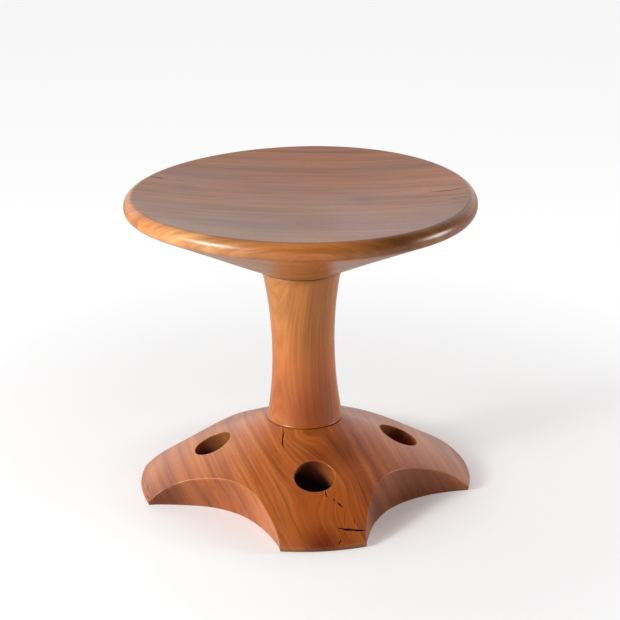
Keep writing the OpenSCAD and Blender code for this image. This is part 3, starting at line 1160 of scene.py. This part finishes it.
# colours as read on a screen; spacing of the bands, streaks and dark lines, and the shares of the bands,
# streaks and clouds in the tone from dark to light. A knot is a middle, a reach and how far it pushes the
# grain. A stain, or a patch of painted light or shade, is a middle, a reach and a tint that the colour is
# multiplied by, lighter where above 255.
woodLooks = {
    "seatWood": dict(
        grain=(0.982, -0.191, 0.0), across=(0.14, 0.8, 0.58), spacing=(30, 8, 16), wander=4, seed=3.1,
        dark=(166, 94, 44), mid=(214, 133, 68), light=(241, 166, 92), line=(120, 66, 34), pore=(84, 40, 20),
        worn=(232, 170, 108), poreShare=0.16, endShare=0.3, wearShare=0.2, roughness=(0.25, 0.33), ior=1.54,
        # the sat-on face is darker and duller than the rim and the underside
        patina=(219, 194, 146), dullTop=0.05,
        # greyer in front and warmer behind as a painted reflection, two dark spots, painted shade on
        # the rim at the right, painted light on the rim's middle, a paler painted highlight on the rim
        # at the front left, and lighter at the dish's right
        stainsAndPaintedLight=(
            ((-60, -110, 425), 120, (220, 230, 255)), ((30, 130, 430), 140, (256, 240, 130)),
            ((-160, 74, 429), 18, (216, 206, 200)), ((86, 5, 423), 20, (222, 226, 232)),
            ((256, -165, 402), 96, (136, 118, 114)), ((120, -262, 405), 60, (118, 84, 88)),
            ((-10, -262, 412), 70, (282, 272, 260)), ((-150, -215, 425), 80, (260, 286, 322)),
            ((190, 20, 432), 60, (272, 262, 250)),
        ),
    ),
    "columnWood": dict(
        grain=(0.0, 0.0, 1.0), across=(0.8, 0.6, 0.0), spacing=(20, 4, 9), wander=2, seed=7.7,
        shares=(0.36, 0.44, 0.2), dark=(165, 92, 38), mid=(200, 121, 52), light=(218, 143, 67),
        line=(146, 82, 38), pore=(96, 46, 20), worn=(230, 168, 106), poreShare=0.18, wearShare=0.3,
        roughness=(0.2, 0.3),
        stainsAndPaintedLight=(
            # a warmer middle, darker and warmer low in front, painted light on the right side, and a paler
            # painted highlight at the upper left
            ((0, 0, 150), 110, (249, 230, 228)), ((5, -50, 125), 46, (220, 186, 110)),
            ((52, -14, 170), 60, (280, 268, 262)), ((-60, -25, 290), 62, (252, 276, 304)),
        ),
    ),
    "baseWood": dict(
        grain=(-0.092, 0.989, -0.049), across=(0.879, 0.105, 0.466), spacing=(14, 5, 10), wander=4, seed=1.4,
        shares=(0.55, 0.3, 0.15), dark=(150, 75, 32), mid=(189, 100, 41), light=(213, 129, 62),
        line=(100, 50, 29), pore=(82, 36, 16), end=(132, 82, 62), worn=(226, 150, 88), lineShare=0.5,
        poreShare=0.15, wearShare=0.25, paintedShadeShare=0.98, roughness=(0.24, 0.34),
        # the figure swirls in front of the column and round the front hole
        knots=(((-9, -60, 98), 22, 24), ((8, -148, 56), 40, -30)),
        stainsAndPaintedLight=(
            # painted shade beside the column's foot, a darker end of the front foot, a warmer front foot,
            # darker just before the column, painted shade on the right scoop's wall, a dark left scoop tip, a
            # paler painted highlight on the left, painted light on the right, and a darker left foot
            ((42, -88, 80), 36, (210, 200, 190)), ((0, -238, 8), 24, (190, 150, 148)),
            ((25, -195, 38), 60, (255, 238, 212)), ((2, -104, 80), 24, (222, 206, 196)),
            ((148, -100, 10), 44, (196, 170, 156)), ((90, -152, 15), 36, (190, 168, 160)),
            ((-205, -66, 8), 26, (196, 176, 166)), ((-120, 0, 100), 80, (255, 272, 280)),
            ((110, 0, 100), 70, (278, 268, 250)), ((-215, -35, 20), 36, (232, 226, 212)),
        ),
    ),
    "wedgeWood": dict(
        grain=(0.0, 0.0, 1.0), across=(0.3, 0.95, 0.0), spacing=(9, 3, 6), wander=1, seed=5.2,
        dark=(176, 132, 84), mid=(206, 164, 112), light=(222, 184, 134), line=(170, 124, 78),
        pore=(130, 90, 52), end=(170, 126, 82), worn=(226, 192, 146), poreShare=0.3, wearShare=0.0,
        paintedShadeShare=0.0, roughness=(0.5, 0.62), bump=0.2, ior=1.45,
    ),
}


def mixWood(material, look):
    material.use_nodes = True
    tree = material.node_tree
    tree.nodes.clear()
    board = NodeBoard(tree)
    place = board.place()
    normal = board.add("ShaderNodeNewGeometry").outputs["Normal"]

    def fallRound(middle, reach, peak):
        inputs = {"Place": place, "Middle": [c * mm for c in middle], "Reach": reach * mm, "Peak": peak}
        return board.group(roundFall, inputs)[0]

    def onMesh(name):
        return board.add("ShaderNodeAttribute", attribute_name=name).outputs["Fac"]

    def mixed(factor, colour, other, blend="MIX"):
        inputs = {"Factor": factor, 6: colour, 7: linear(other)}
        node = board.add("ShaderNodeMix", inputs, data_type="RGBA", blend_type=blend)
        return node.outputs[2]

    bend = 0.0
    for middle, reach, push in look["knots"]:
        bend = board.plus(bend, fallRound(middle, reach, push * mm))
    bandGap, streakGap, lineGap = (gap * mm for gap in look["spacing"])
    figure = board.group(woodFigure, {
        "Place": place, "Grain": unit(look["grain"]), "Across": unit(look["across"]), "Bend": bend,
        "Band Spacing": bandGap, "Streak Spacing": streakGap, "Line Spacing": lineGap,
        "Wander": look["wander"] * mm, "Seed": look["seed"],
    })
    bandShare, streakShare, cloudShare = look["shares"]
    tone = board.times(figure["Bands"], bandShare)
    tone = board.timesPlus(figure["Streaks"], streakShare, tone)
    tone = board.timesPlus(figure["Clouds"], cloudShare, tone)
    ramp = board.add("ShaderNodeValToRGB", {"Fac": tone})
    stops = ramp.color_ramp.elements
    stops[0].color, stops[1].color = linear(look["dark"]), linear(look["light"])
    stops.new(0.5).color = linear(look["mid"])
    colour = mixed(board.times(figure["Lines"], look["lineShare"]), ramp.outputs[0], look["line"])
    colour = mixed(board.times(figure["Pores"], look["poreShare"]), colour, look["pore"])
    # end grain drinks more oil and looks darker
    facing = board.math("ABSOLUTE", board.vector("DOT_PRODUCT", normal, unit(look["grain"])))
    colour = mixed(board.times(board.math("POWER", facing, 2.0), look["endShare"]), colour, look["end"])
    wear = board.group(edgeWear, {"Place": place, "Edge": onMesh("edge")})[0]
    colour = mixed(board.times(wear, look["wearShare"]), colour, look["worn"])
    paintedShade = onMesh("paintedShade")
    roughness = board.between(figure["Clouds"], *look["roughness"])
    roughness = board.timesPlus(figure["Pores"], 0.12, roughness)
    roughness = board.timesPlus(paintedShade, 0.5, roughness)
    if "patina" in look:
        dished = board.rise(board.separate(normal)["Z"], 0.9, 0.98)
        colour = mixed(dished, colour, look["patina"], "MULTIPLY")
        roughness = board.timesPlus(dished, look["dullTop"], roughness)
    # stains, and patches of painted light and shade, multiply the colour
    for middle, reach, tint in look["stainsAndPaintedLight"]:
        colour = mixed(fallRound(middle, reach, 1.0), colour, tint, "MULTIPLY")
    # painted shade inside the holes and joints: the colour goes towards a near-black one
    colour = mixed(board.times(paintedShade, look["paintedShadeShare"]), colour, look["inside"])
    relief = {"Height": figure["Height"], "Strength": look["bump"], "Distance": 0.0002}
    bump = board.out("ShaderNodeBump", relief)
    finish = {"Base Color": colour, "Roughness": roughness, "IOR": look["ior"], "Normal": bump}
    board.add("ShaderNodeOutputMaterial", {"Surface": board.out("ShaderNodeBsdfPrincipled", finish)})


for material in (seatWood, columnWood, baseWood, wedgeWood):
    mixWood(material, {**commonLook, **woodLooks[material.name]})

# inside of the cracks: painted shade, near black with paler flecks, and rough
crackLook = dict(deep=(8, 4, 2), paler=(26, 14, 8), grainLength=3, roughness=(0.75, 0.95))
board, skin = startShader(crackShade, "Principled BSDF")
fleck = board.noise(board.place(), 1 / (crackLook["grainLength"] * mm), 3.0)
fleckRamp = board.add("ShaderNodeValToRGB", {"Fac": fleck})
for stop, name in zip(fleckRamp.color_ramp.elements, ("deep", "paler")):
    stop.color = linear(crackLook[name])
board.feed(skin["Base Color"], fleckRamp.outputs[0])
board.feed(skin["Roughness"], board.between(fleck, *crackLook["roughness"]))
print("wood mixed")

# studio: a pale floor, a soft key with a small core at the left, a weaker lamp at the right, and a dome that
# is brightest behind
studioSetup = dict(
    # paint is what light in the room meets; the camera sees near up to the first distance, and far from
    # the second on
    floor=dict(
        paint=0.68, near=0.9, far=0.5, nearGlow=0.15, farGlow=0.55, farthestGlow=0.8, mirrored=0.4,
        distances=(0.17, 0.34), farthest=(0.33, 1.15), tint=(1.0, 0.995, 0.995),
    ),
    # turn is in degrees round the stool from the camera's side, to the right; lift is above the horizon
    lamps=dict(
        key=dict(turn=-56, lift=21, away=1.9, wide=1.1, tall=0.6, power=20),
        core=dict(turn=-57, lift=21, away=1.9, wide=0.3, tall=0.3, power=17),
        right=dict(turn=90, lift=9, away=1.8, wide=0.5, tall=0.5, power=12.5),
    ),
    aim=(0, 0, 0.22),
    dome=dict(low=0.015, back=1.07, left=0.16),
)
floorMesh = plainMesh("floor", [(-12, -8, 0), (12, -8, 0), (12, 16, 0), (-12, 16, 0)], [(0, 1, 2, 3)])
floorSheet = placed("floor", floorMesh, studio)
floorPaint = bpy.data.materials.new("floorPaint")
board, skin = startShader(floorPaint, "Principled BSDF")
look = studioSetup["floor"]
ray = board.add("ShaderNodeLightPath").outputs
seen = board.math("MAXIMUM", ray["Is Glossy Ray"], ray["Is Transmission Ray"])
seen = board.math("MAXIMUM", ray["Is Camera Ray"], seen)
away = board.vector("LENGTH", board.place())
beyond = board.rise(away, *look["distances"])
shade = board.minus(board.between(beyond, look["near"], look["far"]), look["paint"])
shade = board.timesPlus(seen, shade, look["paint"])
glow = board.between(beyond, look["nearGlow"], look["farGlow"])
glow = board.timesPlus(board.rise(away, *look["farthest"]), look["farthestGlow"] - look["farGlow"], glow)
glow = board.times(glow, board.math("MAXIMUM", ray["Is Camera Ray"], board.times(seen, look["mirrored"])))
for name, value in (
    ("Base Color", board.vector("SCALE", look["tint"], shade)),
    ("Emission Color", (*look["tint"], 1)),
    ("Emission Strength", glow),
    ("Roughness", 0.9),
    ("Specular IOR Level", 0.0),
):
    board.feed(skin[name], value)
floorMesh.materials.append(floorPaint)

world = bpy.data.worlds.new("world")
scene.world = world
board, background = startShader(world, "Background")
sky = board.separate(board.place("Generated"))
dome = studioSetup["dome"]
glow = board.timesPlus(board.rise(sky["Y"], 0.2, 0.93), dome["back"], dome["low"])
glow = board.timesPlus(board.rise(board.times(sky["X"], -1.0), 0.0, 0.9), dome["left"], glow)
board.feed(background["Strength"], glow)
board.feed(background["Color"], (1, 1, 1, 1))


def softbox(name, setup):
    lampData = bpy.data.lights.new(name, "AREA")
    lampData.shape = "RECTANGLE"
    lampData.energy = setup["power"]
    lampData.size = setup["wide"]
    lampData.size_y = setup["tall"]
    lamp = placed(name, lampData, studio)
    turn = math.atan2(cameraSetup["place"][1], cameraSetup["place"][0]) + math.radians(setup["turn"])
    lift = math.radians(setup["lift"])
    aim = Vector(studioSetup["aim"])
    way = Vector((math.cos(lift) * math.cos(turn), math.cos(lift) * math.sin(turn), math.sin(lift)))
    lamp.location = aim + setup["away"] * way
    lamp.rotation_euler = (aim - lamp.location).to_track_quat("-Z", "Y").to_euler()


for name, setup in studioSetup["lamps"].items():
    softbox(name, setup)
scene.view_settings.view_transform = "Standard"
print("studio lit")
